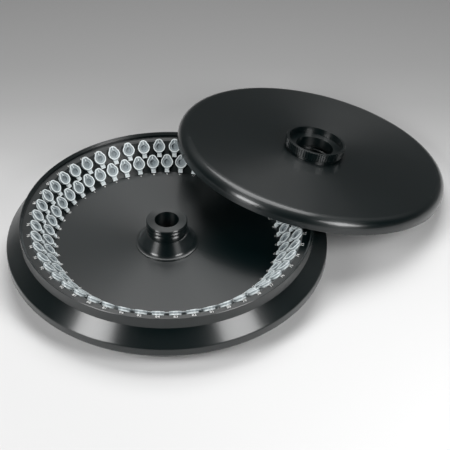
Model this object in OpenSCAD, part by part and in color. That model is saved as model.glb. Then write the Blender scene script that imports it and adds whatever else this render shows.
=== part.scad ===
// Fixed-angle centrifuge rotor for 100 micro tubes, with its screw-down lid.
// Origin: centre of the spindle bore in the base plane. +Z is the spin axis.
// The camera side of the product photo is -Y, and the lid leans on the rim at +X +Y.

/* [Rotor body] */
// Radius of the upright rim wall
rim_r = 154; // [150:0.5:158]
// Height of the rotor from its base to the top of the rim
rotor_h = 55; // [54:0.5:60]
// Height of the upright rim wall
rim_wall_h = 12; // [10:0.5:14]
// How far the shoulder cone stands out past the rim wall
shoulder = 15; // [14:0.5:18]
// Height of the upright band round the widest part
band_h = 8.5; // [7:0.5:10]
// Rounding of the band's upper and lower corners
band_round = 2.5; // [1:0.5:3.5]
// Thickness of the rim wall beside the lid seat
rim_wall = 3; // [2:0.5:4]
// Depth of the lid seat below the rim
seat_depth = 4.7; // [4:0.1:6]
// Width of the lid seat, which carries the place numbers
seat_w = 8; // [7:0.5:10]
// Height of the bevel at the mouth of the lid seat
seat_bevel = 2.3; // [0.5:0.1:3]
// Height of the bowl floor above the base
floor_h = 26; // [25:0.5:28]
// Height of the hollow under the floor
under_h = 12; // [6:1:14]
// Radius of the boss under the floor that carries the hub
boss_r = 40; // [38:1:46]
// Outer radius of the hollow under the floor
under_r = 124; // [110:1:128]

/* [Tube places] */
// Places in each of the two rows
row_count = 50; // [49:1:51]
// Distance down the inner cone from the seat to the outer row
outer_row = 6.4; // [6.2:0.1:7]
// Distance down the inner cone between the two rows
row_gap = 17.2; // [16.5:0.1:17.5]
// Radius of a tube bore
bore_r = 5.5; // [5.4:0.1:5.7]
// Least metal left round the closed end of a bore
bore_wall = 1.15; // [0.8:0.05:1.2]
// Depth of the straight part of a tube bore
bore_straight = 20; // [18:0.5:22]
// Whole depth of a tube bore
bore_depth = 38.8; // [38.6:0.1:40]
// Radius at the bottom of a tube bore
bore_tip_r = 2.7; // [2.5:0.1:3]

/* [Vials] */
// Play between a vial and its bore
vial_play = 0.2; // [0.15:0.05:0.3]
// Wall thickness of a vial
vial_wall = 0.9; // [0.8:0.1:1.1]
// Radius of the collar round a vial's mouth
collar_r = 6.1; // [5.9:0.1:6.3]
// Height of the collar
collar_h = 1.5; // [1.3:0.1:1.8]
// Gap between the collar and the cone that carries it
collar_gap = 0.25; // [0.2:0.05:0.4]
// Radius of a cap
cap_r = 6.5; // [6.2:0.1:6.7]
// Thickness of a cap's plate
cap_plate = 1.1; // [0.9:0.1:1.4]
// Height of the raised rim on a cap
cap_rim_h = 1.0; // [0.6:0.1:1.2]
// Width of the raised rim on a cap
cap_rim_w = 1.1; // [0.8:0.1:1.5]
// Reach of the cap's rounded nose from the cap's centre
tab_reach = 8.5; // [8:0.1:9.2]
// Rounding of the cap's nose
nose_r = 4.4; // [4:0.1:5]
// Wall thickness of the cap's cupped plug
plug_wall = 0.7; // [0.6:0.05:0.9]
// Gap between a cap and the collar below it
cap_gap = 0.2; // [0.15:0.05:0.3]
// Distance from the vial's axis to its hinge
hinge_reach = 9.4; // [9.2:0.1:9.6]
// Width of the hinge strap at its narrowest
strap_w = 3.0; // [2.6:0.1:4]
// Width of the strap's end and of the lug that holds it
lug_w = 4.8; // [4.2:0.1:5]
// Radius of the eyelet in the strap
eyelet_r = 0.55; // [0.4:0.05:0.7]
// Thickness of the hinge strap
strap_t = 0.9; // [0.7:0.1:1]

/* [Hub] */
// Radius of the hub's threaded neck
neck_r = 21.6; // [21:0.1:22.2]
// Height of the neck's top above the rim
neck_above_rim = 0.5; // [0:0.1:1]
// Height of the threaded neck
neck_h = 14.5; // [13:0.5:16]
// Depth of the thread
thread_depth = 1.2; // [0.8:0.1:1.4]
// Rise of one thread turn
thread_pitch = 4.6; // [4:0.1:5]
// Radius of the hub's foot on the bowl floor
foot_r = 33; // [32:0.5:36]
// Thickness of the foot's edge
foot_edge = 0.9; // [0.6:0.1:1.5]
// Width of the foot outside the hub's cone
foot_w = 3.4; // [2.4:0.1:4]
// Rounding between the hub's cone and its foot
foot_round = 5.5; // [2:0.5:6]
// Radius of the open bore at the top of the hub
nut_bore_r = 12.8; // [12:0.1:13.4]
// Radius of the hub's spigot in the rotor
spigot_r = 20; // [19.5:0.5:23]

/* [Spindle bush] */
// Radius of the spindle bore
spindle_r = 10; // [8:0.5:11]
// Outer radius of the bush
bush_r = 15; // [14:0.5:16]
// Length of the bush
bush_l = 24; // [20:1:25]
// Radius of the bush's flange
bush_flange_r = 19; // [18:0.5:20]
// Thickness of the bush's flange
bush_flange_t = 3; // [2:0.5:4]
// Width of the drive slots in the bush's flange
slot_w = 5; // [4:0.5:6]
// Depth of the drive slots
slot_depth = 2.4; // [2:0.1:2.6]

/* [Hub screws] */
// Number of screws that hold the hub
screw_count = 6; // [3:1:8]
// Radius of the screw circle
screw_circle_r = 24.8; // [24.8:0.1:28]
// Radius of a screw's shank
screw_r = 2; // [1.5:0.25:3]
// Length of a screw under its head
screw_l = 22; // [20:0.5:24]
// Radius of a screw's head
screw_head_r = 3.5; // [3:0.25:4.5]
// Height of a screw's head
screw_head_h = 4; // [3:0.5:6]
// Metal left above the end of a screw in the hub's foot
screw_cover = 1.5; // [1:0.25:3]

/* [Lid] */
// Gap between the lid's edge and the rim wall when it is closed
lid_play = 1; // [0.5:0.1:2]
// Thickness of the lid
lid_t = 16; // [14:0.5:18]
// Rounding of the lid's upper edge
lid_round = 10.7; // [8:0.1:12]
// Bevel of the lid's lower edge
lid_bevel = 0.8; // [0.4:0.1:1.5]
// Depth of the dish under the lid
dish_depth = 5; // [4.6:0.1:6]
// Width of the land round the dish
land_w = 4.5; // [4:0.1:5]
// Radius of the boss in the middle of the dish
lid_boss_r = 41; // [36:0.5:42]
// Distance from the boss under the leaning lid to the rotor's rim
lean_room = 4.7; // [3:0.1:8]
// Direction in which the lid leans, counted from +X
lid_azimuth = 36.7; // [30:0.1:45]
// Gap that keeps the leaning lid clear of the rim and of the table
lean_gap = 0.3; // [0.2:0.05:0.5]
// Radius of the lid seal's section
seal_section = 1.25; // [1:0.05:1.4]
// How far the lid seal stands out of its groove
seal_proud = 0.4; // [0.2:0.1:0.6]

/* [Lock ring] */
// Radius of the knurled head
head_r = 33.1; // [32:0.1:35]
// Height of the knurled head
head_h = 9; // [8:0.5:10]
// Radius of the plain neck under the head
under_head_r = 30.4; // [29.5:0.1:31]
// Height of the neck under the head
under_head_h = 2; // [1.5:0.1:3]
// Width of the head's upper edge
head_edge = 3.1; // [2.5:0.1:4]
// Depth of the recess in the head
head_recess = 7.4; // [6:0.1:8]
// Number of knurl grooves
knurl_count = 72; // [48:4:96]
// Depth of a knurl groove
knurl_depth = 0.7; // [0.4:0.1:0.9]
// Radius of the sleeve that passes through the lid
sleeve_r = 26; // [25.6:0.1:27]
// Length of the sleeve below the lid
sleeve_below = 8; // [6:0.5:9]
// Play between the sleeve and the lid
sleeve_play = 0.08; // [0.05:0.01:0.1]
// Play between the male and the female thread
thread_play = 0.4; // [0.3:0.05:0.6]
// Thickness of the thrust washer
washer_t = 1; // [0.8:0.1:1.5]
// Radius of the ring seal's section
ring_seal_section = 1.2; // [1:0.05:1.3]
// Thickness of the retaining ring
clip_t = 1.2; // [1:0.1:1.5]
// Width of the retaining ring
clip_w = 3.6; // [3:0.1:4]
// Depth of the retaining ring's groove
clip_groove = 1.2; // [0.8:0.1:1.4]
// Opening angle of the retaining ring
clip_gap_angle = 24; // [16:1:40]

/* [Hidden] */
$fn = 96;

// Colours
black_metal = [0.07, 0.07, 0.07];
dark_metal = [0.11, 0.11, 0.11];
steel = [0.62, 0.62, 0.64];
frosted = [0.86, 0.89, 0.90];
seal_rubber = [0.03, 0.03, 0.03];

// Smoothness of the large turned outlines and of the small vials
big_fn = 180;
small_fn = 32;
// A small overlap that keeps cuts open past a face
cut = 0.5;
// Play of a pressed or screwed fit
fit = 0.05;

// Rotor outline
seat_r = rim_r - rim_wall;
seat_z = rotor_h - seat_depth;
cone_r = seat_r - seat_w;
shoulder_top = rotor_h - rim_wall_h;
slope = 45;
// The band and the lower cone keep their wall round the ends of the outer bores
bore_end_r = cone_r + (bore_depth + bore_tip_r - outer_row) * cos(slope);
bore_end_base = cone_r - seat_z + 2 * bore_depth * cos(slope);
rotor_r = max(rim_r + shoulder, bore_end_r + bore_wall);
band_top = shoulder_top - (rotor_r - rim_r);
base_r = max(rotor_r - band_top + band_h, bore_end_base + bore_wall / sin(slope));
band_bottom = rotor_r - base_r;
floor_r = cone_r - (seat_z - floor_h);
// The rim keeps a flat top this wide between its bevel and its outer edge
rim_flat = 0.6;
rim_edge = 0.3;
base_bevel = 1;
flange_room = 0.5;
hub_spigot_r = max(spigot_r, bush_flange_r + flange_room);
hub_hole_r = hub_spigot_r + fit;

// Places: the inner row is numbered first, then the outer row
pitch = 360 / row_count;
first_inner = 21;
first_outer = row_count + first_inner;
mouth_cut = 1;
loose_places = [56, 74, 82, 90, 98, 6, 24, 32, 40, 48];
inner_row = outer_row + row_gap;
is_outer = function (n) n > row_count;
is_loose = function (n) len(search(n, loose_places)) > 0;
place_angle = function (n) is_outer(n) ? -pitch * (n - first_outer) : -pitch * (n - first_inner) + pitch / 2;
row_slant = function (n) is_outer(n) ? outer_row : inner_row;

// Vial outline, measured from the mouth along its axis
vial_r = bore_r - vial_play;
vial_tip_r = bore_tip_r - vial_play;
vial_l = bore_depth - 2 * vial_play;
vial_straight = bore_straight - vial_play;
collar_top = collar_gap + collar_h;
vial_floor = 1.4;
tip_round = 0.9;
plug_r = vial_r - vial_wall - cap_gap;
plug_l = 1.6;
plug_taper = 0.3;
cap_under = collar_top + cap_gap;
cap_top = cap_under + cap_plate;
hinge_z = cap_under + strap_t / 2;
lug_t = 0.85;
lug_end = 1.4;
hinge_gap = 0.2;
lug_reach = hinge_reach + strap_t / 2 + hinge_gap + lug_end;
// Room that the rotor leaves round the lugs and collars of the inner row
lug_room = 0.1;
// Cap: the tangent of its two circles, the strap's neck and its eyelet
nose_at = tab_reach - nose_r;
nose_turn = acos((cap_r - nose_r) / nose_at);
// The straight sides lie this far inside the tangent, so that they cross both circles
side_inset = 0.12;
strap_flare = 42;
neck_back = 1;
eyelet_back = 0.6;
strap_neck = hinge_reach - neck_back;
eyelet_at = strap_neck - eyelet_back;
rib_w = 0.7;
well_r = plug_r - plug_taper - plug_wall;
well_floor = 0.7;

// Hub outline
neck_top = rotor_h + neck_above_rim;
neck_bottom = neck_top - neck_h;
neck_bevel = 0.8;
undercut_h = 0.6;
cone_top_r = neck_r + 0.6;
cone_foot_r = foot_r - foot_w;
foot_top = floor_h + foot_edge;
hub_slope = atan2(neck_bottom - foot_top, cone_foot_r - cone_top_r);
foot_fillet = min(foot_round, foot_w / tan(hub_slope / 2));
root_r = neck_r - thread_depth;
// The ridge's crest takes this share of the pitch, and its flanks stand at 45 degrees
crest_share = 0.4;
ridge_crest = crest_share * thread_pitch / 2;
ridge_foot = ridge_crest + thread_depth;
top_ridge_z = neck_top - ridge_crest - neck_bevel / 2;
bush_seat_r = bush_r + fit;
bush_seat_top = bush_l + cut / 2;
// Screws: clear of the spigot, and ending under the hub's cone
screw_play = 0.25;
head_play = 0.4;
screw_wall = 0.8;
screw_at_r = max(screw_circle_r, hub_hole_r + screw_head_r + head_play + screw_wall);
screw_rise = max(0, cone_foot_r - screw_at_r - screw_r) * tan(hub_slope);
screw_tip = foot_top + screw_rise - screw_cover;
screw_seat = screw_tip - screw_l;
socket_r = 0.9 * screw_r;
socket_depth = 0.6 * screw_head_h;

// Lid, in its own frame: the land is at height 0
sleeve_wall = 1;
female_r = neck_r - thread_depth + thread_play;
sleeve_out_r = max(sleeve_r, female_r + thread_depth + 2 * ring_seal_section + sleeve_wall);
lid_r = seat_r - lid_play;
lid_hole_r = sleeve_out_r + sleeve_play;
dish_r = lid_r - land_w;
seal_r = lid_r - land_w / 2;
// The lid's far edge stands on the table and the ceiling of its dish lies on the rim
lean_span = lid_r + lid_boss_r + lean_room;
lean_drop = dish_depth - lean_gap;
lid_tilt = asin((rotor_h - lean_gap) / sqrt(pow(lean_span, 2) + pow(lean_drop, 2))) - atan2(lean_drop, lean_span);
lid_rise = lid_r * sin(lid_tilt) + lean_gap;
lid_reach = rim_r + (cos(lid_tilt) * (rotor_h - lid_rise) - lean_drop) / sin(lid_tilt);
lid_at = [lid_reach * cos(lid_azimuth), lid_reach * sin(lid_azimuth), lid_rise];

// Lock ring, in the lid's frame
ring_gap = 0.15;
ring_under = lid_t + washer_t + ring_gap;
head_under = ring_under + under_head_h;
ring_top = head_under + head_h;
ring_ledge = ring_top - head_recess;
washer_lip = 0.4;
washer_r = under_head_r + washer_lip;
ring_seal_z = lid_t / 2;
ring_seal_room = 0.2;
clip_gap = 0.3;
clip_top = -clip_gap;
clip_in_r = sleeve_out_r - clip_groove + fit;

// Puts a vial or a cap at its place: +Z leaves the mouth, +X points up the cone
module at_place(n) {
    s = row_slant(n) * cos(slope);
    rotate([0, 0, place_angle(n)])
        translate([cone_r - s, 0, seat_z - s])
            rotate([0, -slope, 0])
                children();
}

// Puts a part of the lid where the lid leans on the rim
module on_lid() {
    translate(lid_at)
        rotate([0, 0, lid_azimuth])
            rotate([0, lid_tilt, 0])
                children();
}

// Half section of the rotor body
module rotor_section() {
    t = band_round * tan(slope / 2);
    c = t * cos(slope);
    difference() {
        union() {
            polygon([
                [hub_hole_r, 0],
                [base_r - base_bevel, 0],
                [base_r + base_bevel / 2, base_bevel / 2],
                [rotor_r - c, band_bottom - c],
                [rotor_r, band_bottom + t],
                [rotor_r, band_top - t],
                [rotor_r - c, band_top + c],
                [rim_r, shoulder_top],
                [rim_r, rotor_h - rim_edge],
                [rim_r - rim_edge, rotor_h],
                [rim_r - rim_edge - rim_flat, rotor_h],
                [seat_r, rotor_h - seat_bevel],
                [seat_r, seat_z],
                [cone_r, seat_z],
                [floor_r, floor_h],
                [hub_hole_r, floor_h]
            ]);
            for (z = [band_bottom + t, band_top - t])
                translate([rotor_r - band_round, z])
                    circle(r = band_round, $fn = 48);
        }
        polygon([
            [boss_r, -cut],
            [under_r + under_h / 2 + cut / 2, -cut],
            [under_r, under_h],
            [boss_r, under_h]
        ]);
        translate([cone_r - inner_row * cos(slope), seat_z - inner_row * sin(slope)])
            rotate(slope) lug_room_section();
    }
}

// What the inner row's collars and lugs need, if the bowl floor ever reaches them
module lug_room_section() {
    polygon([
        [0, collar_gap - lug_room],
        [-collar_r - lug_room, collar_gap - lug_room],
        [-collar_r - lug_room, collar_top - lug_t - lug_room],
        [-lug_reach - lug_room, collar_top - lug_t - lug_room],
        [-lug_reach - lug_room, lug_reach],
        [0, lug_reach]
    ]);
}

// One tube bore with its tapered bottom
module tube_bore() {
    rotate_extrude($fn = small_fn)
        polygon([
            [0, -bore_depth],
            [bore_tip_r, -bore_depth],
            [bore_r, -bore_straight],
            [bore_r, mouth_cut],
            [0, mouth_cut]
        ]);
}

// Hard-anodised body: bowl, two rows of bores, shoulder and band
module rotor_body() {
    color(black_metal)
        difference() {
            rotate_extrude($fn = big_fn) rotor_section();
            for (n = [1 : 2 * row_count]) at_place(n) tube_bore();
            for (i = [0 : screw_count - 1])
                rotate([0, 0, i * 360 / screw_count])
                    translate([screw_at_r, 0, -cut]) {
                        cylinder(r = screw_r + screw_play, h = floor_h + 2 * cut, $fn = 32);
                        cylinder(r = screw_head_r + head_play, h = screw_seat + cut, $fn = 32);
                    }
        }
}

// Half section of the hub: spigot, foot, cone with a rounded foot, and neck
module hub_section() {
    a = hub_slope;
    t = foot_fillet * tan(a / 2);
    difference() {
        polygon([
            [bush_seat_r, bush_flange_t],
            [hub_spigot_r, bush_flange_t],
            [hub_spigot_r, floor_h],
            [foot_r, floor_h],
            [foot_r, foot_top],
            [cone_foot_r + t, foot_top],
            [cone_foot_r - t * cos(a), foot_top + t * sin(a)],
            [cone_top_r, neck_bottom],
            [root_r, neck_bottom + undercut_h],
            [root_r, neck_top],
            [nut_bore_r, neck_top],
            [nut_bore_r, bush_seat_top],
            [bush_seat_r, bush_seat_top]
        ]);
        translate([cone_foot_r + t, foot_top + foot_fillet])
            circle(r = foot_fillet, $fn = 48);
    }
}

// Rounded thread ridge, as turns of equal radius
module thread_ridges(r, z0, turns) {
    for (i = [0 : turns - 1])
        translate([0, z0 + i * thread_pitch])
            polygon([
                [r - thread_depth - cut, -ridge_foot],
                [r - thread_depth, -ridge_foot],
                [r, -ridge_crest],
                [r, ridge_crest],
                [r - thread_depth, ridge_foot],
                [r - thread_depth - cut, ridge_foot]
            ]);
}

// Drive hub with the threaded neck for the lock ring
module hub() {
    color(black_metal)
        difference() {
            rotate_extrude($fn = big_fn) {
                hub_section();
                intersection() {
                    thread_ridges(neck_r, top_ridge_z - 2 * thread_pitch, 3);
                    polygon([
                        [0, 0],
                        [neck_r + cut, 0],
                        [neck_r + cut, neck_top - neck_bevel - cut],
                        [neck_r - neck_bevel, neck_top],
                        [0, neck_top]
                    ]);
                }
            }
            for (i = [0 : screw_count - 1])
                rotate([0, 0, i * 360 / screw_count])
                    translate([screw_at_r, 0, floor_h - cut])
                        cylinder(r = screw_r + fit, h = screw_tip - floor_h + 2 * cut, $fn = 32);
        }
}

// Steel bush that the spindle enters, with two drive slots
module spindle_bush() {
    color(steel)
        difference() {
            rotate_extrude()
                polygon([
                    [spindle_r, 0],
                    [bush_flange_r, 0],
                    [bush_flange_r, bush_flange_t],
                    [bush_r, bush_flange_t],
                    [bush_r, bush_l],
                    [spindle_r, bush_l]
                ]);
            translate([-bush_flange_r - cut, -slot_w / 2, -cut])
                cube([2 * (bush_flange_r + cut), slot_w, slot_depth + cut]);
        }
}

// Socket-head screws from below, through the boss and into the hub's foot
module hub_screws() {
    color(steel)
        for (i = [0 : screw_count - 1])
            rotate([0, 0, i * 360 / screw_count])
                translate([screw_at_r, 0, 0])
                    difference() {
                        union() {
                            translate([0, 0, screw_seat - screw_head_h])
                                cylinder(r = screw_head_r, h = screw_head_h, $fn = 32);
                            translate([0, 0, screw_seat])
                                cylinder(r = screw_r, h = screw_l, $fn = 32);
                        }
                        translate([0, 0, screw_seat - screw_head_h - cut])
                            cylinder(r = socket_r, h = socket_depth + cut, $fn = 6);
                    }
}

// Vial: collar, straight wall, taper and closed tip, with the hinge lug
module vial() {
    inner_r = vial_r - vial_wall;
    inner_tip_r = vial_tip_r - vial_wall;
    color(frosted) {
        difference() {
            union() {
                rotate_extrude($fn = small_fn)
                    polygon([
                        [0, -vial_l],
                        [vial_tip_r - tip_round, -vial_l],
                        [vial_tip_r, -vial_l + tip_round],
                        [vial_r, -vial_straight],
                        [vial_r, collar_gap],
                        [collar_r, collar_gap],
                        [collar_r, collar_top],
                        [0, collar_top]
                    ]);
                translate([-lug_reach, -lug_w / 2, collar_top - lug_t])
                    cube([lug_reach - inner_r - vial_wall / 2, lug_w, lug_t]);
                translate([-lug_reach, -lug_w / 2, collar_top - lug_t])
                    cube([lug_end, lug_w, hinge_z - collar_top + lug_t]);
            }
            rotate_extrude($fn = small_fn)
                polygon([
                    [0, -vial_l + vial_floor],
                    [inner_tip_r, -vial_l + vial_floor],
                    [inner_r, -vial_straight],
                    [inner_r, collar_top + cut],
                    [0, collar_top + cut]
                ]);
        }
    }
}

// Outline of a cap, drawn in by w: a disc whose sides run straight into a rounded nose
module cap_outline(w) {
    u = [cos(nose_turn), sin(nose_turn)];
    v = [cos(nose_turn), -sin(nose_turn)];
    nose = [nose_at, 0];
    cap_in = cap_r - w - side_inset;
    nose_in = nose_r - w - side_inset;
    circle(r = cap_r - w, $fn = small_fn);
    translate(nose) circle(r = nose_r - w, $fn = small_fn);
    polygon([cap_in * v, nose + nose_in * v, nose + nose_in * u, cap_in * u]);
}

// Outline of the strap: wide at the cap, narrow at its neck, wide at the hinge
module strap_outline() {
    x = cap_r * cos(strap_flare);
    y = cap_r * sin(strap_flare);
    difference() {
        polygon([
            [-x, y],
            [-strap_neck, strap_w / 2],
            [-hinge_reach, lug_w / 2],
            [-hinge_reach, -lug_w / 2],
            [-strap_neck, -strap_w / 2],
            [-x, -y]
        ]);
        translate([-eyelet_at, 0]) circle(r = eyelet_r, $fn = 16);
    }
}

// Cap: egg-shaped plate with a raised rim, cupped plug, and the strap to the hinge
module vial_cap() {
    color(frosted)
        difference() {
            union() {
                translate([0, 0, cap_under])
                    linear_extrude(cap_plate + cap_rim_h) cap_outline(0);
                rotate_extrude($fn = small_fn)
                    polygon([
                        [0, cap_under - plug_l],
                        [plug_r - plug_taper, cap_under - plug_l],
                        [plug_r, cap_under - plug_l / 2],
                        [plug_r, cap_under + strap_t / 2],
                        [0, cap_under + strap_t / 2]
                    ]);
                translate([0, 0, cap_under])
                    linear_extrude(strap_t) strap_outline();
                translate([-hinge_reach, lug_w / 2, hinge_z])
                    rotate([90, 0, 0])
                        cylinder(r = strap_t / 2, h = lug_w, $fn = 16);
            }
            translate([0, 0, cap_top])
                linear_extrude(cap_rim_h + cut)
                    difference() {
                        cap_outline(cap_rim_w);
                        translate([well_r + cap_rim_w / 2, -rib_w / 2]) square([cap_r, rib_w]);
                    }
            translate([0, 0, cap_under - plug_l + well_floor])
                cylinder(r = well_r, h = plug_l + cap_top, $fn = small_fn);
        }
}

// The vials and caps that stay in the rotor
module outer_vials() {
    for (n = [row_count + 1 : 2 * row_count]) if (!is_loose(n)) at_place(n) vial();
}

module outer_caps() {
    for (n = [row_count + 1 : 2 * row_count]) if (!is_loose(n)) at_place(n) vial_cap();
}

module inner_vials() {
    for (n = [1 : row_count]) if (!is_loose(n)) at_place(n) vial();
}

module inner_caps() {
    for (n = [1 : row_count]) if (!is_loose(n)) at_place(n) vial_cap();
}

// One vial that can be drawn out of place n, and the cap on it
module loose_vial(n) {
    at_place(n) vial();
}

module loose_cap(n) {
    at_place(n) vial_cap();
}

// Half section of the lid, with its rounded edge, dish and seal groove
module lid_section() {
    difference() {
        union() {
            polygon([
                [lid_hole_r, 0],
                [lid_boss_r, 0],
                [lid_boss_r, dish_depth],
                [dish_r, dish_depth],
                [dish_r, 0],
                [lid_r - lid_bevel, 0],
                [lid_r, lid_bevel],
                [lid_r, lid_t - lid_round],
                [lid_r - lid_round, lid_t],
                [lid_hole_r, lid_t]
            ]);
            translate([lid_r - lid_round, lid_t - lid_round])
                intersection() {
                    circle(r = lid_round, $fn = 120);
                    square(lid_round);
                }
        }
        translate([seal_r - seal_section, -cut])
            square([2 * seal_section, cut + 2 * seal_section - seal_proud]);
    }
}

// Turned lid disc
module lid_disc() {
    color(black_metal)
        on_lid() rotate_extrude($fn = big_fn) lid_section();
}

// Round seal in the groove of the lid's land
module lid_seal() {
    color(seal_rubber)
        on_lid()
            rotate_extrude($fn = big_fn)
                translate([seal_r, seal_section - seal_proud])
                    circle(r = seal_section - fit, $fn = 24);
}

// Washer between the lid and the lock ring's neck
module thrust_washer() {
    color(steel)
        on_lid()
            translate([0, 0, lid_t])
                difference() {
                    cylinder(r = washer_r, h = washer_t);
                    translate([0, 0, -cut]) cylinder(r = lid_hole_r, h = washer_t + 2 * cut);
                }
}

// Half section of the lock ring: knurled head, neck and threaded sleeve
module lock_ring_section() {
    bevel = 0.6;
    difference() {
        polygon([
            [female_r, -sleeve_below],
            [sleeve_out_r - bevel, -sleeve_below],
            [sleeve_out_r, -sleeve_below + bevel],
            [sleeve_out_r, ring_under],
            [under_head_r, ring_under],
            [under_head_r, head_under],
            [head_r - bevel, head_under],
            [head_r, head_under + bevel],
            [head_r, ring_top - bevel],
            [head_r - bevel, ring_top],
            [head_r - head_edge, ring_top],
            [head_r - head_edge, ring_ledge],
            [female_r, ring_ledge]
        ]);
        thread_ridges(female_r + thread_depth, ridge_foot - sleeve_below, 4);
        translate([lid_hole_r - 2 * ring_seal_section, ring_seal_z - ring_seal_section - ring_seal_room])
            square([2 * ring_seal_section + cut, 2 * (ring_seal_section + ring_seal_room)]);
        translate([sleeve_out_r - clip_groove, clip_top - clip_t - fit])
            square([clip_groove + cut, clip_t + 2 * fit]);
    }
}

// Knurled ring that screws the lid to the hub
module lock_ring() {
    w = knurl_depth * 1.1;
    color(dark_metal)
        on_lid()
            difference() {
                rotate_extrude($fn = big_fn) lock_ring_section();
                for (i = [0 : knurl_count - 1])
                    rotate([0, 0, i * 360 / knurl_count])
                        translate([head_r, 0, head_under - cut])
                            linear_extrude(head_h + 2 * cut)
                                polygon([[-knurl_depth, 0], [cut, -w - cut], [cut, w + cut]]);
            }
}

// Round seal between the sleeve and the lid
module ring_seal() {
    color(seal_rubber)
        on_lid()
            rotate_extrude()
                translate([lid_hole_r - ring_seal_section - sleeve_play / 2, ring_seal_z])
                    circle(r = ring_seal_section - fit, $fn = 24);
}

// Open retaining ring that keeps the lock ring in the lid
module retaining_ring() {
    color(steel)
        on_lid()
            rotate([0, 0, clip_gap_angle / 2])
                rotate_extrude(angle = 360 - clip_gap_angle)
                    translate([clip_in_r, clip_top - clip_t])
                        square([clip_w, clip_t]);
}

rotor_body();
hub();
spindle_bush();
hub_screws();
outer_vials();
outer_caps();
inner_vials();
inner_caps();
loose_vial(56);  // vial_56
loose_vial(74);  // vial_74
loose_vial(82);  // vial_82
loose_vial(90);  // vial_90
loose_vial(98);  // vial_98
loose_vial(6);  // vial_6
loose_vial(24);  // vial_24
loose_vial(32);  // vial_32
loose_vial(40);  // vial_40
loose_vial(48);  // vial_48
loose_cap(56);  // cap_56
loose_cap(74);  // cap_74
loose_cap(82);  // cap_82
loose_cap(90);  // cap_90
loose_cap(98);  // cap_98
loose_cap(6);  // cap_6
loose_cap(24);  // cap_24
loose_cap(32);  // cap_32
loose_cap(40);  // cap_40
loose_cap(48);  // cap_48
lid_disc();
lid_seal();
thrust_washer();
lock_ring();
ring_seal();
retaining_ring();
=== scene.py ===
"""Looks of a fixed-angle centrifuge rotor and its lid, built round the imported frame.

The rotor stands on the table at the frame's origin and its lid leans on the rim. The frame gives
every part its shape. This script dresses those parts in anodised metal, steel, rubber and frosted
plastic, prints the place numbers, and sets the studio.
"""

import logging
import math
from dataclasses import dataclass
from enum import Enum

import bpy
from mathutils import Matrix, Vector


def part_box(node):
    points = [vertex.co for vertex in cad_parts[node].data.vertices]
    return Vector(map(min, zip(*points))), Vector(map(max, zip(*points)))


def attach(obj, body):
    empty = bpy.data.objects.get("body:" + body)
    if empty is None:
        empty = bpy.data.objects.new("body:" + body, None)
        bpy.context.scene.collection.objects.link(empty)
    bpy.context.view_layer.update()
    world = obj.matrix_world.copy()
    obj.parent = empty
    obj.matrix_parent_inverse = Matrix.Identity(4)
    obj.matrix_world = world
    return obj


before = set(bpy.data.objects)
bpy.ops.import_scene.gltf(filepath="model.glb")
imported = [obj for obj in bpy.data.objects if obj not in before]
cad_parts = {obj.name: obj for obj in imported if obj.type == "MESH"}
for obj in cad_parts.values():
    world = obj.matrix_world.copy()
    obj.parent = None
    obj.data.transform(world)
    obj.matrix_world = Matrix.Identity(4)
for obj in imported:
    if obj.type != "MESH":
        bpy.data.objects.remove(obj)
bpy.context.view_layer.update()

LOG = logging.getLogger("rotor")
MM = 0.001
# Most values of a noise lie between these
NOISE_LOW, NOISE_HIGH = 0.3, 0.7
# Share of a full turn that sets the stretched highlights across the turning marks
QUARTER_TURN = 0.25
# Watts on each square metre of a light of radiance 1
AREA_LIGHT_WATTS = 4.0

Rgb = tuple[float, float, float]
Stops = tuple[tuple[float, float], ...]


class TubeRow(Enum):
    """The two rings of tube places."""

    OUTER = "outer"
    INNER = "inner"


@dataclass(frozen=True)
class TurningAxis:
    """The axis that a part was turned about on the lathe.

    Args:
        point: a point on the axis, in metres.
        azimuth: direction of the axis's lean, from +X.
        tilt: lean of the axis from +Z.
    """

    point: tuple[float, float, float] = (0.0, 0.0, 0.0)
    azimuth: float = 0.0
    tilt: float = 0.0

    def rotation(self) -> Matrix:
        """Turn from the part's own upright frame to the row frame.

        Returns:
            The rotation.
        """
        return Matrix.Rotation(self.azimuth, 3, "Z") @ Matrix.Rotation(self.tilt, 3, "Y")


def deselect_all() -> None:
    """Leaves edit mode and deselects every object."""
    if bpy.context.mode != "OBJECT":
        bpy.ops.object.mode_set(mode="OBJECT")
    bpy.ops.object.select_all(action="DESELECT")


def make_active(obj: bpy.types.Object) -> None:
    """Selects obj alone and makes it active.

    Args:
        obj: the object to work on.
    """
    deselect_all()
    obj.select_set(True)
    bpy.context.view_layer.objects.active = obj


def apply_place(obj: bpy.types.Object) -> None:
    """Puts an object's place, turn and scale into its mesh.

    Args:
        obj: the object, which ends at the origin.
    """
    make_active(obj)
    bpy.ops.object.transform_apply(location=True, rotation=True, scale=True)


def join(objects: list[bpy.types.Object], name: str) -> bpy.types.Object:
    """Joins objects into one.

    Args:
        objects: the objects to join.
        name: the name of the joined object.

    Returns:
        The joined object.
    """
    make_active(objects[0])
    for obj in objects[1:]:
        obj.select_set(True)
    bpy.ops.object.join()
    joined = bpy.context.active_object
    joined.name = name
    return joined


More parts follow.
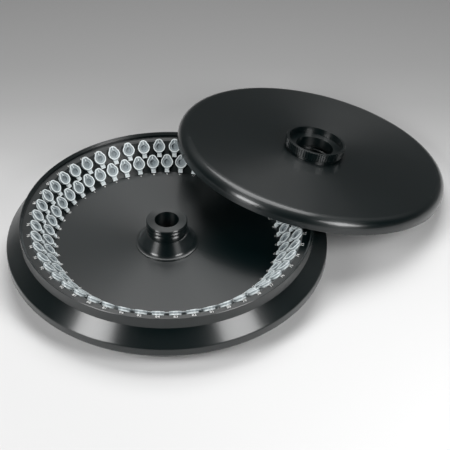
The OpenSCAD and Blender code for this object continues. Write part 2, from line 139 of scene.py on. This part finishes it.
class Nodes:
    """A node tree, with short calls to add and link nodes."""

    def __init__(self, tree: bpy.types.NodeTree) -> None:
        """Keeps the tree.

        Args:
            tree: the tree of a material or a world.
        """
        self.tree = tree

    def set_input(self, node: bpy.types.Node, key: str | int, value: object) -> None:
        """Links or sets one input of a node.

        Args:
            node: the node.
            key: the input's name or index.
            value: an output socket to link, or the value to set.
        """
        if isinstance(value, bpy.types.NodeSocket):
            self.tree.links.new(value, node.inputs[key])
        else:
            node.inputs[key].default_value = value

    def add(self, kind: str, inputs: dict | None = None, **settings: object) -> bpy.types.Node:
        """Adds a node.

        Args:
            kind: the node's type, without the ShaderNode prefix.
            inputs: value or output socket for each input name or index.
            settings: the node's own settings.

        Returns:
            The node.
        """
        node = self.tree.nodes.new("ShaderNode" + kind)
        for key, value in settings.items():
            setattr(node, key, value)
        for key, value in (inputs or {}).items():
            self.set_input(node, key, value)
        return node

    def maths(self, operation: str, first: object, second: object = 0.0) -> bpy.types.NodeSocket:
        """Adds a Math node and returns its result.

        Args:
            operation: the sum to do.
            first: the first value or socket.
            second: the second value or socket.

        Returns:
            The result's socket.
        """
        return self.add("Math", {0: first, 1: second}, operation=operation).outputs[0]

    def blend(self, factor: object, first: Rgb, second: object) -> bpy.types.NodeSocket:
        """Mixes two colours.

        Args:
            factor: the share of the second colour.
            first: the first colour, red, green and blue.
            second: the second colour or its socket.

        Returns:
            The mixed colour's socket.
        """
        if not isinstance(second, bpy.types.NodeSocket):
            second = (*second, 1.0)
        return self.add("Mix", {0: factor, 6: (*first, 1.0), 7: second}, data_type="RGBA").outputs[2]

    def map(self, value: object, start: float, end: float, low: float = 0.0,
            high: float = 1.0) -> bpy.types.NodeSocket:
        """Maps a value's range to another one.

        Args:
            value: the value's socket.
            start: the value that gives low.
            end: the value that gives high.
            low: the result at the start.
            high: the result at the end.

        Returns:
            The result's socket.
        """
        return self.add("MapRange", {0: value, 1: start, 2: end, 3: low, 4: high}).outputs[0]

    def spread(self, noise: object, low: float, high: float) -> bpy.types.NodeSocket:
        """Maps the middle range of a noise.

        Args:
            noise: the noise's socket.
            low: the result at the low end of the noise.
            high: the result at its high end.

        Returns:
            The result's socket.
        """
        return self.map(noise, NOISE_LOW, NOISE_HIGH, low, high)

    def grade(self, value: object, stops: Stops) -> bpy.types.NodeSocket:
        """Grades a value from grey to grey.

        Args:
            value: the value's socket.
            stops: value and grey of each stop, in order.

        Returns:
            The grey's socket.
        """
        first, last = stops[0][0], stops[-1][0]
        ramp = self.add("ValToRGB", {0: self.map(value, first, last)})
        elements = ramp.color_ramp.elements
        while len(elements) < len(stops):
            elements.new(1.0)
        for element, (place, grey) in zip(elements, stops):
            element.position = (place - first) / (last - first)
            element.color = (grey, grey, grey, 1.0)
        return ramp.outputs[0]


class NodeSheet(Nodes):
    """The nodes of a new material."""

    def __init__(self, name: str) -> None:
        """Makes an empty material with its output.

        Args:
            name: the material's name.
        """
        self.material = bpy.data.materials.new(name)
        self.material.use_nodes = True
        super().__init__(self.material.node_tree)
        self.tree.nodes.clear()
        self.output = self.add("OutputMaterial")
        self.coordinates = self.add("TexCoord").outputs["Object"]

    def noise(self, scale: float, detail: float) -> bpy.types.NodeSocket:
        """Adds a noise on object coordinates and returns its value.

        Args:
            scale: the noise's scale, per metre.
            detail: the noise's detail.

        Returns:
            The value's socket.
        """
        inputs = {"Vector": self.coordinates, "Scale": scale, "Detail": detail}
        return self.add("TexNoise", inputs).outputs[0]

    def relief(self, height: object, strength: float, depth: float) -> bpy.types.NodeSocket:
        """Adds a fine relief and returns its normal.

        Args:
            height: the relief's socket.
            strength: how much of it shows.
            depth: its depth, in metres.

        Returns:
            The normal's socket.
        """
        return self.add("Bump", {"Height": height, "Strength": strength, "Distance": depth}).outputs[0]

    def finish(self, **inputs: object) -> bpy.types.Material:
        """Adds the surface shader and links it to the output.

        Args:
            inputs: value or output socket for each of the shader's inputs, with _ for a space.

        Returns:
            The material.
        """
        named = {name.replace("_", " "): value for name, value in inputs.items()}
        shader = self.add("BsdfPrincipled", named)
        self.tree.links.new(shader.outputs[0], self.output.inputs["Surface"])
        return self.material


@dataclass(frozen=True)
class AnodisedMetal:
    """Black anodised aluminium, turned on a lathe.

    Args:
        name: the material's name.
        dark: colour of the dye where it is deepest.
        pale: colour where the layer is thinner.
        roughness: mean roughness of the turning marks.
        anisotropy: how far the turning marks stretch a highlight.
        ior: refraction of the marks' surface.
        skin_roughness: roughness of the smooth sealed skin.
        skin_ior: refraction of the skin.
        mark_pitch: distance between turning marks.
        mark_strength: strength of the marks' relief.
        mark_depth: depth of the marks' relief.
        mark_rough: how far the marks change the roughness.
        cloud_scale: scale of the soft clouds in the dye, per metre.
        cloud_rough: how far the clouds change the roughness.
        speck_scale: scale of the specks in the dye, per metre.
        cloud_share: share of the clouds against the specks.
        axis: the axis that the part was turned about.
    """

    name: str
    dark: Rgb = (0.0003, 0.0030, 0.0034)
    pale: Rgb = (0.0007, 0.0042, 0.0047)
    roughness: float = 0.38
    anisotropy: float = 0.85
    ior: float = 1.44
    skin_roughness: float = 0.17
    skin_ior: float = 1.38
    mark_pitch: float = 0.35 * MM
    mark_strength: float = 0.05
    mark_depth: float = 0.02 * MM
    mark_rough: float = 0.02
    cloud_scale: float = 22.0
    cloud_rough: float = 0.015
    speck_scale: float = 900.0
    cloud_share: float = 0.7
    axis: TurningAxis = TurningAxis()

    def material(self) -> bpy.types.Material:
        """Builds the material.

        Returns:
            The material.
        """
        sheet = NodeSheet(self.name)
        flat, height = self.place_on_lathe(sheet)
        radius = sheet.add("VectorMath", {0: flat}, operation="LENGTH").outputs["Value"]
        marks = sheet.add("TexNoise", {
            "W": sheet.maths("ADD", radius, height), "Scale": 1.0 / self.mark_pitch, "Detail": 2.0,
        }, noise_dimensions="1D").outputs[0]
        clouds = sheet.noise(self.cloud_scale, detail=3.0)
        specks = sheet.noise(self.speck_scale, detail=1.0)
        wear = sheet.maths("ADD", sheet.maths("MULTIPLY", clouds, self.cloud_share),
                           sheet.maths("MULTIPLY", specks, 1.0 - self.cloud_share))
        clouded = sheet.spread(clouds, self.roughness - self.cloud_rough, self.roughness + self.cloud_rough)
        rough = sheet.maths("ADD", clouded, sheet.spread(marks, -self.mark_rough, self.mark_rough))
        return sheet.finish(
            Base_Color=sheet.blend(sheet.spread(wear, 0.0, 1.0), self.dark, self.pale),
            Roughness=rough, IOR=self.ior,
            Normal=sheet.relief(marks, self.mark_strength, self.mark_depth),
            Anisotropic=self.anisotropy, Anisotropic_Rotation=QUARTER_TURN,
            Tangent=self.round_the_axis(sheet, flat),
            Coat_Weight=1.0, Coat_Roughness=self.skin_roughness, Coat_IOR=self.skin_ior)

    def place_on_lathe(self, sheet: NodeSheet) -> tuple[bpy.types.NodeSocket, bpy.types.NodeSocket]:
        """Turns object coordinates upright about the axis.

        Args:
            sheet: the material's nodes.

        Returns:
            Place across the axis, as a flat vector, and height along the axis.
        """
        turn = self.axis.rotation().inverted()
        local = sheet.add("Mapping", {
            "Vector": sheet.coordinates, "Location": -(turn @ Vector(self.axis.point)),
            "Rotation": turn.to_euler(),
        }, vector_type="POINT").outputs[0]
        flat = sheet.add("VectorMath", {0: local, 1: (1.0, 1.0, 0.0)}, operation="MULTIPLY").outputs[0]
        return flat, sheet.add("SeparateXYZ", {0: local}).outputs[2]

    def round_the_axis(self, sheet: NodeSheet, flat: bpy.types.NodeSocket) -> bpy.types.NodeSocket:
        """Direction of the turning marks, round the axis.

        Args:
            sheet: the material's nodes.
            flat: place across the axis.

        Returns:
            The direction's socket, in the world.
        """
        marks = sheet.add("VectorMath", {0: (0.0, 0.0, 1.0), 1: flat}, operation="CROSS_PRODUCT").outputs[0]
        along = sheet.add("Mapping", {"Vector": marks, "Rotation": self.axis.rotation().to_euler()},
                          vector_type="VECTOR").outputs[0]
        return sheet.add("VectorTransform", {0: along}, vector_type="VECTOR",
                         convert_from="OBJECT", convert_to="WORLD").outputs[0]


@dataclass(frozen=True)
class TubePlaces:
    """The hundred tube places on the bowl's cone, numbered from 1 to 100.

    Args:
        row_count: places in each row.
        seat_edge: radius of the lid seat's inner edge.
        seat_drop: depth of the seat below the rim.
        outer_slant: distance down the cone to the outer row.
        inner_slant: distance down the cone to the inner row.
        first_inner: inner place at half a pitch past +X.
        loose: places whose tubes can be drawn out.
    """

    row_count: int = 50
    seat_edge: float = 143 * MM
    seat_drop: float = 4.7 * MM
    outer_slant: float = 6.4 * MM
    inner_slant: float = 23.6 * MM
    first_inner: int = 21
    loose: tuple[int, ...] = (56, 74, 82, 90, 98, 6, 24, 32, 40, 48)

    def seat_height(self) -> float:
        """Finds the lid seat below the frame's rim.

        Returns:
            The seat's height.
        """
        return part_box("rotor_body")[1].z - self.seat_drop

    def row(self, number: int) -> TubeRow:
        """Row of a place.

        Args:
            number: the place's number.

        Returns:
            The row.
        """
        return TubeRow.OUTER if number > self.row_count else TubeRow.INNER

    def numbers(self, row: TubeRow) -> range:
        """Lists the numbers of a row's places.

        Args:
            row: the row.

        Returns:
            The numbers, in order.
        """
        start = self.row_count + 1 if row is TubeRow.OUTER else 1
        return range(start, start + self.row_count)

    def angle(self, number: int) -> float:
        """Finds the direction of a place from the rotor's axis.

        Args:
            number: the place's number.

        Returns:
            The azimuth, in radians.
        """
        pitch = math.tau / self.row_count
        if self.row(number) is TubeRow.OUTER:
            return -pitch * (number - self.row_count - self.first_inner)
        return -pitch * (number - self.first_inner) + pitch / 2

    def mouth(self, row: TubeRow) -> Vector:
        """Middle of a row's mouth at azimuth zero.

        Args:
            row: the row.

        Returns:
            The point, in the row frame.
        """
        step = (self.outer_slant if row is TubeRow.OUTER else self.inner_slant) * math.cos(math.pi / 4)
        return Vector((self.seat_edge - step, 0.0, self.seat_height() - step))


@dataclass(frozen=True)
class FrostedPlastic:
    """Translucent polypropylene with a frosted skin, with painted shade: darker down the tube into the
    rotor's bore and in the cap's well and thin middle, where the dark bore shows through.

    Args:
        name: the material's name.
        places: the tube places, which the pattern repeats on.
        row: the row that wears the material.
        white: height above the mouth along a tube, and the share of white there, in order; the low shares are
            the painted shade.
        strap_start: distance from a tube's axis where the hinge strap starts.
        strap_fade: length over which the strap turns white.
        strap_white: share of white in the strap, which the painted shade leaves pale.
        pale: the plastic's own colour, where no shade is painted.
        deep: colour of the painted shade, where the dark bore shows through the thin plastic.
        roughness: mean roughness.
        rough_spread: how far the grain changes the roughness.
        cloud_scale: scale of the clouds in the white, per metre.
        cloud_white: share of the white that is left where a cloud is thin.
        grain_scale: scale of the frosted grain, per metre.
        grain_strength: strength of the grain's relief.
        grain_depth: depth of the grain's relief.
        ior: refraction of the plastic.
    """

    name: str
    places: TubePlaces
    row: TubeRow
    white: Stops
    strap_start: float = 6.4 * MM
    strap_fade: float = 1.2 * MM
    strap_white: float = 0.9
    pale: Rgb = (0.78, 0.84, 0.85)
    deep: Rgb = (0.13, 0.165, 0.185)
    roughness: float = 0.36
    rough_spread: float = 0.06
    cloud_scale: float = 700.0
    cloud_white: float = 0.86
    grain_scale: float = 6000.0
    grain_strength: float = 0.12
    grain_depth: float = 0.05 * MM
    ior: float = 1.49

    def tube_frame(self, sheet: NodeSheet) -> tuple[bpy.types.NodeSocket, bpy.types.NodeSocket]:
        """Folds the ring of tubes onto one tube.

        Args:
            sheet: the material's nodes.

        Returns:
            Distance up the cone from the tube's axis, and height above its mouth.
        """
        pitch = math.tau / self.places.row_count
        offset = 0.0 if self.row is TubeRow.OUTER else 0.5
        x, y, z = sheet.add("SeparateXYZ", {0: sheet.coordinates}).outputs
        turns = sheet.maths("SUBTRACT", sheet.maths("DIVIDE", sheet.maths("ARCTAN2", y, x), pitch), offset)
        folded = sheet.maths("SUBTRACT", turns, sheet.maths("ROUND", turns))
        flat = sheet.add("CombineXYZ", {0: x, 1: y}).outputs[0]
        reach = sheet.add("VectorMath", {0: flat}, operation="LENGTH").outputs["Value"]
        across = sheet.maths("MULTIPLY", reach, sheet.maths("COSINE", sheet.maths("MULTIPLY", folded, pitch)))
        mouth = self.places.mouth(self.row)
        out = sheet.maths("SUBTRACT", across, mouth.x)
        over = sheet.maths("SUBTRACT", z, mouth.z)
        half = math.sqrt(0.5)
        up_cone = sheet.maths("MULTIPLY", sheet.maths("ADD", over, out), half)
        height = sheet.maths("MULTIPLY", sheet.maths("SUBTRACT", over, out), half)
        return up_cone, height

    def material(self) -> bpy.types.Material:
        """Builds the material.

        Returns:
            The material.
        """
        sheet = NodeSheet(self.name)
        up_cone, height = self.tube_frame(sheet)
        strap_full = -self.strap_start - self.strap_fade
        strap = sheet.map(up_cone, -self.strap_start, strap_full, 0.0, self.strap_white)
        # Painted shade: the plastic darkens from pale towards the shade colour down the tube into the bore
        # and in the cap's well; the strap stays pale.
        unshaded_share = sheet.maths("MAXIMUM", sheet.grade(height, self.white), strap)
        clouds = sheet.spread(sheet.noise(self.cloud_scale, detail=2.0), self.cloud_white, 1.0)
        grain = sheet.noise(self.grain_scale, detail=1.0)
        rough = sheet.spread(grain, self.roughness - self.rough_spread, self.roughness + self.rough_spread)
        return sheet.finish(
            Base_Color=sheet.blend(sheet.maths("MULTIPLY", unshaded_share, clouds), self.deep, self.pale),
            Roughness=rough, IOR=self.ior, Normal=sheet.relief(grain, self.grain_strength, self.grain_depth))


@dataclass(frozen=True)
class TurnedSteel:
    """Bright turned steel.

    Args:
        name: the material's name.
        colour: the metal's colour.
        stain: brightness of the stains against the clean metal.
        clean_rough: roughness of the clean metal.
        stain_rough: roughness of the stains.
        stain_scale: scale of the stains, per metre.
        grain_scale: scale of the fine grain, per metre.
    """

    name: str
    colour: Rgb = (0.56, 0.56, 0.57)
    stain: float = 0.8
    clean_rough: float = 0.26
    stain_rough: float = 0.36
    stain_scale: float = 300.0
    grain_scale: float = 4000.0

    def material(self) -> bpy.types.Material:
        """Builds the material.

        Returns:
            The material.
        """
        sheet = NodeSheet(self.name)
        stains = sheet.noise(self.stain_scale, detail=3.0)
        grain = sheet.noise(self.grain_scale, detail=2.0)
        stained = tuple(self.stain * part for part in self.colour)
        return sheet.finish(
            Base_Color=sheet.blend(sheet.spread(stains, 0.0, 1.0), stained, self.colour), Metallic=1.0,
            Roughness=sheet.spread(stains, self.stain_rough, self.clean_rough),
            Normal=sheet.relief(grain, strength=0.08, depth=0.02 * MM))


@dataclass(frozen=True)
class SealRubber:
    """Matt black rubber of the seals.

    Args:
        name: the material's name.
        dark: colour of the clean rubber.
        bloomed: colour where it has bloomed.
        bloom_scale: scale of the bloom, per metre.
        grain_scale: scale of the fine grain, per metre.
    """

    name: str
    dark: Rgb = (0.012, 0.012, 0.012)
    bloomed: Rgb = (0.024, 0.024, 0.023)
    bloom_scale: float = 500.0
    grain_scale: float = 5000.0

    def material(self) -> bpy.types.Material:
        """Builds the material.

        Returns:
            The material.
        """
        sheet = NodeSheet(self.name)
        bloom = sheet.noise(self.bloom_scale, detail=3.0)
        grain = sheet.noise(self.grain_scale, detail=2.0)
        return sheet.finish(
            Base_Color=sheet.blend(sheet.spread(bloom, 0.0, 1.0), self.dark, self.bloomed),
            Roughness=sheet.spread(bloom, low=0.5, high=0.65),
            Normal=sheet.relief(grain, strength=0.2, depth=0.03 * MM))


@dataclass(frozen=True)
class PrintedInk:
    """White screen-printed ink of the place numbers.

    Args:
        name: the material's name.
        worn: colour where the ink is worn.
        fresh: colour where it is whole.
        wear_scale: scale of the wear, per metre.
    """

    name: str
    worn: Rgb = (0.72, 0.73, 0.72)
    fresh: Rgb = (0.92, 0.93, 0.92)
    wear_scale: float = 2500.0

    def material(self) -> bpy.types.Material:
        """Builds the material.

        Returns:
            The material.
        """
        sheet = NodeSheet(self.name)
        wear = sheet.noise(self.wear_scale, detail=2.0)
        return sheet.finish(
            Base_Color=sheet.blend(sheet.spread(wear, 0.0, 1.0), self.worn, self.fresh),
            Roughness=sheet.spread(wear, low=0.5, high=0.7))


@dataclass(frozen=True)
class StudioFloor:
    """Pale studio table that darkens away from the camera.

    Args:
        name: the material's name.
        greys: distance behind the rotor's axis, and the table's grey there, in order; the lower values paint
            the light's fall-off.
        roughness: the table's roughness.
    """

    name: str
    # Painted shade: the table's grey falls from 0.70 by the rotor to 0.10 far behind, for the light's
    # fall-off.
    greys: Stops = (
        (-1.5, 0.45), (-0.45, 0.67), (-0.10, 0.70), (0.05, 0.70), (0.13, 0.62), (0.20, 0.46),
        (0.28, 0.355), (0.36, 0.30), (0.50, 0.255), (0.9, 0.17), (1.8, 0.10))
    roughness: float = 0.75

    def material(self) -> bpy.types.Material:
        """Builds the material.

        Returns:
            The material.
        """
        sheet = NodeSheet(self.name)
        depth = sheet.add("SeparateXYZ", {0: sheet.coordinates}).outputs[1]
        return sheet.finish(Base_Color=sheet.grade(depth, self.greys), Roughness=self.roughness)


def dress(node: str, material: bpy.types.Material) -> None:
    """Gives a frame node its material.

    Args:
        node: the node's name.
        material: the material.
    """
    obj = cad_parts[node]
    if not obj.material_slots:
        obj.data.materials.append(material)
    for slot in obj.material_slots:
        slot.material = material
    LOG.info("dressed %s in %s", node, material.name)


@dataclass
class Metalwork:
    """The turned metal parts and seals, which keep the frame's shapes.

    Args:
        lid_axis: the leaning lid's axis.
    """

    lid_axis: TurningAxis

    def build(self) -> None:
        """Dresses every metal part and seal."""
        finishes = (
            (AnodisedMetal("black_anodised_body"), ("rotor_body", "hub")),
            (AnodisedMetal("black_anodised_lid", axis=self.lid_axis), ("lid_disc",)),
            (AnodisedMetal("black_anodised_ring", axis=self.lid_axis), ("lock_ring", "thrust_washer")),
            (TurnedSteel("turned_steel"), ("spindle_bush", "hub_screws", "retaining_ring")),
            (SealRubber("seal_rubber"), ("lid_seal", "ring_seal")),
        )
        for finish, nodes in finishes:
            material = finish.material()
            for node in nodes:
                dress(node, material)


@dataclass
class TubeRack:
    """The vials and caps in their places.

    Args:
        places: the tube places.
        vial_white: height above the mouth and share of white in a vial; the low shares paint shade down the
            vial into the bore.
        cap_white: height above the mouth and share of white in a cap, from its well to its rim; the low
            shares paint shade in the well and thin middle, where the dark tube shows through.
    """

    places: TubePlaces
    # Painted shade: the vials darken down into the rotor's bores, and the caps in their wells and thin
    # middles.
    vial_white: Stops = ((-38 * MM, 0.35), (-8 * MM, 0.5), (0.0, 0.85), (2 * MM, 0.95))
    cap_white: Stops = (
        (0.3 * MM, 0.18), (1.2 * MM, 0.18), (2.9 * MM, 0.24), (3.2 * MM, 0.30), (3.5 * MM, 0.85),
        (4.1 * MM, 1.0))

    def build(self) -> None:
        """Dresses the vials and caps."""
        for row in TubeRow:
            name = row.value
            vial = FrostedPlastic(f"frosted_{name}_vial", self.places, row, self.vial_white).material()
            cap = FrostedPlastic(f"frosted_{name}_cap", self.places, row, self.cap_white).material()
            dress(f"{name}_vials", vial)
            dress(f"{name}_caps", cap)
            for number in (n for n in self.places.loose if self.places.row(n) is row):
                dress(f"vial_{number}", vial)
                dress(f"cap_{number}", cap)


@dataclass
class PlaceNumbers:
    """Printed numbers beside the tube places.

    Args:
        places: the tube places.
        outer_radius: radius of the outer row's numbers, on the lid seat.
        inner_radius: radius of the inner row's numbers, on the bowl floor.
        outer_height: height of an outer figure.
        inner_height: height of an inner figure.
        floor_height: height of the bowl floor.
        figure_share: height of a figure as a share of the font's size.
        film: thickness of the ink.
        sunk: how deep the film's foot lies in the metal.
        slot: the record's material slot for the ink; not used.
    """

    places: TubePlaces
    outer_radius: float = 145.0 * MM
    inner_radius: float = 115.5 * MM
    outer_height: float = 3.4 * MM
    inner_height: float = 2.4 * MM
    floor_height: float = 26.0 * MM
    figure_share: float = 0.7
    film: float = 0.05 * MM
    sunk: float = 0.02 * MM
    slot: str = "rotor_metal"

    def figure(self, number: int, height: float, radius: float, level: float) -> bpy.types.Object:
        """Prints one number.

        Args:
            number: the number.
            height: height of its figures.
            radius: distance of its middle from the axis.
            level: height of the surface that carries it.

        Returns:
            The number's mesh, with its place in it.
        """
        deselect_all()
        bpy.ops.object.text_add()
        text = bpy.context.active_object
        text.data.body = str(number)
        text.data.size = height / self.figure_share
        text.data.resolution_u = 2
        text.data.align_x = "CENTER"
        text.data.align_y = "CENTER"
        text.data.extrude = self.film / 2
        make_active(text)
        bpy.ops.object.convert(target="MESH")
        figure = bpy.context.active_object
        turn = Matrix.Rotation(self.places.angle(number), 4, "Z")
        spot = Vector((radius, 0.0, level + self.film / 2 - self.sunk))
        figure.matrix_world = turn @ Matrix.Translation(spot) @ Matrix.Rotation(math.pi / 2, 4, "Z")
        apply_place(figure)
        return figure

    def build(self) -> None:
        """Prints both rows of numbers."""
        ink = PrintedInk("white_ink").material()
        settings = {
            TubeRow.OUTER: (self.outer_height, self.outer_radius, self.places.seat_height()),
            TubeRow.INNER: (self.inner_height, self.inner_radius, self.floor_height),
        }
        for row, (height, radius, level) in settings.items():
            figures = [self.figure(n, height, radius, level) for n in self.places.numbers(row)]
            numbers = join(figures, f"{row.value}_numbers")
            numbers.data.materials.clear()
            numbers.data.materials.append(ink)
            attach(numbers, "rotor")
            LOG.info("printed %s", numbers.name)


@dataclass(frozen=True)
class Softbox:
    """A square studio light that faces the rotor.

    Args:
        name: the light's name.
        place: its middle.
        width: its width.
        depth: its other side.
        radiance: its brightness, where 1 shows as white.
        target: the point that it faces.
    """

    name: str
    place: tuple[float, float, float]
    width: float
    depth: float
    radiance: float
    target: tuple[float, float, float] = (0.05, 0.03, 0.03)

    def build(self) -> None:
        """Adds the light."""
        deselect_all()
        bpy.ops.object.light_add(type="AREA", location=self.place)
        light = bpy.context.active_object
        light.name = self.name
        light.rotation_euler = (Vector(self.target) - Vector(self.place)).to_track_quat("-Z", "Y").to_euler()
        light.data.shape = "RECTANGLE"
        light.data.size = self.width
        light.data.size_y = self.depth
        light.data.energy = AREA_LIGHT_WATTS * self.width * self.depth * self.radiance
        LOG.info("set light %s", self.name)


@dataclass(frozen=True)
class PhotoCamera:
    """The camera of the product photo.

    Args:
        image: width and height of the image, in pixels.
        sensor: width of the sensor, in millimetres.
        lens: focal length, in millimetres.
        distance: distance from the middle of the rim.
        elevation: height above the rim plane, in radians.
        azimuth: turn about the rotor's axis, in radians.
        roll: roll about the view's own axis, in radians.
        rim_centre: pixel that the middle of the rim falls on.
    """

    image: float = 450.0
    sensor: float = 36.0
    lens: float = 150.0
    distance: float = 1963.9 * MM
    elevation: float = math.radians(39.474)
    azimuth: float = math.radians(0.55)
    roll: float = 0.014
    rim_centre: tuple[float, float] = (166.75, 219.88)

    def build(self, rim: Vector) -> None:
        """Adds the camera and makes it the scene's.

        Args:
            rim: the middle of the rim.
        """
        pixels = self.lens / self.sensor * self.image
        back = Vector((0.0, -math.cos(self.elevation), math.sin(self.elevation)))
        place = self.distance * back
        forward = -back
        right = Vector((1.0, 0.0, 0.0))
        up = right.cross(forward)
        level = Matrix((right, up, forward))
        across = (self.rim_centre[0] - self.image / 2) / pixels
        upward = (self.image / 2 - self.rim_centre[1]) / pixels
        yaw = math.atan2(across, 1.0)
        pitch = math.atan2(upward, math.hypot(across, 1.0))
        look = self.turn_yaw(yaw) @ self.turn_pitch(pitch) @ Matrix.Rotation(self.roll, 3, "Z") @ level
        axes = Matrix((look[0], look[1], -Vector(look[2]))).transposed()
        turn = Matrix.Rotation(self.azimuth, 4, "Z")
        deselect_all()
        bpy.ops.object.camera_add()
        camera = bpy.context.active_object
        camera.name = "photo_camera"
        camera.data.sensor_width = self.sensor
        camera.data.lens = self.lens
        camera.data.clip_end = 100.0
        camera.matrix_world = Matrix.Translation(rim) @ turn @ Matrix.Translation(place) @ axes.to_4x4()
        bpy.context.scene.camera = camera

    @staticmethod
    def turn_yaw(angle: float) -> Matrix:
        """Turns about the view's upward axis, where forward is the third row.

        Args:
            angle: the turn, in radians.

        Returns:
            The rotation.
        """
        c, s = math.cos(angle), math.sin(angle)
        return Matrix(((c, 0.0, s), (0.0, 1.0, 0.0), (-s, 0.0, c)))

    @staticmethod
    def turn_pitch(angle: float) -> Matrix:
        """Turns about the view's sideways axis, where forward is the third row.

        Args:
            angle: the turn, in radians.

        Returns:
            The rotation.
        """
        c, s = math.cos(angle), math.sin(angle)
        return Matrix(((1.0, 0.0, 0.0), (0.0, c, s), (0.0, -s, c)))


@dataclass
class Studio:
    """Floor, lights and camera.

    Args:
        floor_size: side of the floor.
        room: brightness of the dim room.
        backdrop: height on the far backdrop, as the sine of its elevation, and the brightness that the
            metal mirrors there, in order.
        backdrop_edge: sine of the turn from the side at which the backdrop is at its full brightness.
        softboxes: the lights.
    """

    floor_size: float = 14.0
    room: float = 0.003
    backdrop: Stops = ((0.0, 0.08), (0.35, 0.10), (0.64, 0.46), (1.0, 1.0))
    backdrop_edge: float = 0.7
    softboxes: tuple[Softbox, ...] = (
        Softbox("softbox_left", (-1.10, -0.87, 0.82), 0.56, 0.80, 10.5),
        Softbox("softbox_right", (0.62, -0.54, 0.58), 0.36, 0.42, 9.0),
        Softbox("softbox_top", (0.10, 0.58, 1.50), 1.15, 1.10, 3.7),
    )

    def build(self) -> None:
        """Sets the floor, world, lights and camera."""
        self.add_floor()
        self.set_world()
        for softbox in self.softboxes:
            softbox.build()
        PhotoCamera().build(Vector((0.0, 0.0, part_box("rotor_body")[1].z)))
        bpy.context.scene.view_settings.view_transform = "Standard"

    def add_floor(self) -> None:
        """Adds the floor, which isn't part of the object."""
        deselect_all()
        bpy.ops.mesh.primitive_plane_add(size=self.floor_size)
        floor = bpy.context.active_object
        floor.name = "studio_floor"
        floor.data.materials.append(StudioFloor("studio_floor").material())

    def set_world(self) -> None:
        """Gives the room its dim light, and the metal a far backdrop to mirror."""
        world = bpy.data.worlds.new("studio_room")
        world.use_nodes = True
        nodes = Nodes(world.node_tree)
        direction = nodes.add("TexCoord").outputs["Generated"]
        _, behind, height = nodes.add("SeparateXYZ", {0: direction}).outputs
        facing = nodes.add("MapRange", {0: behind, 1: 0.0, 2: self.backdrop_edge},
                           interpolation_type="SMOOTHSTEP").outputs[0]
        mirrored = nodes.add("LightPath").outputs["Is Glossy Ray"]
        share = nodes.maths("MULTIPLY", facing, mirrored)
        colour = nodes.blend(share, (self.room, self.room, self.room), nodes.grade(height, self.backdrop))
        nodes.set_input(world.node_tree.nodes["Background"], "Color", colour)
        bpy.context.scene.world = world


def main() -> None:
    """Builds the studio, the parts and the numbers."""
    logging.basicConfig(level=logging.INFO, format="%(message)s")
    lid_axis = TurningAxis(point=(157.925 * MM, 117.714 * MM, 38.744 * MM),
                           azimuth=math.radians(36.7), tilt=math.radians(14.85))
    places = TubePlaces()
    Studio().build()
    Metalwork(lid_axis).build()
    TubeRack(places).build()
    PlaceNumbers(places).build()
    deselect_all()


if __name__ == "__main__":
    main()
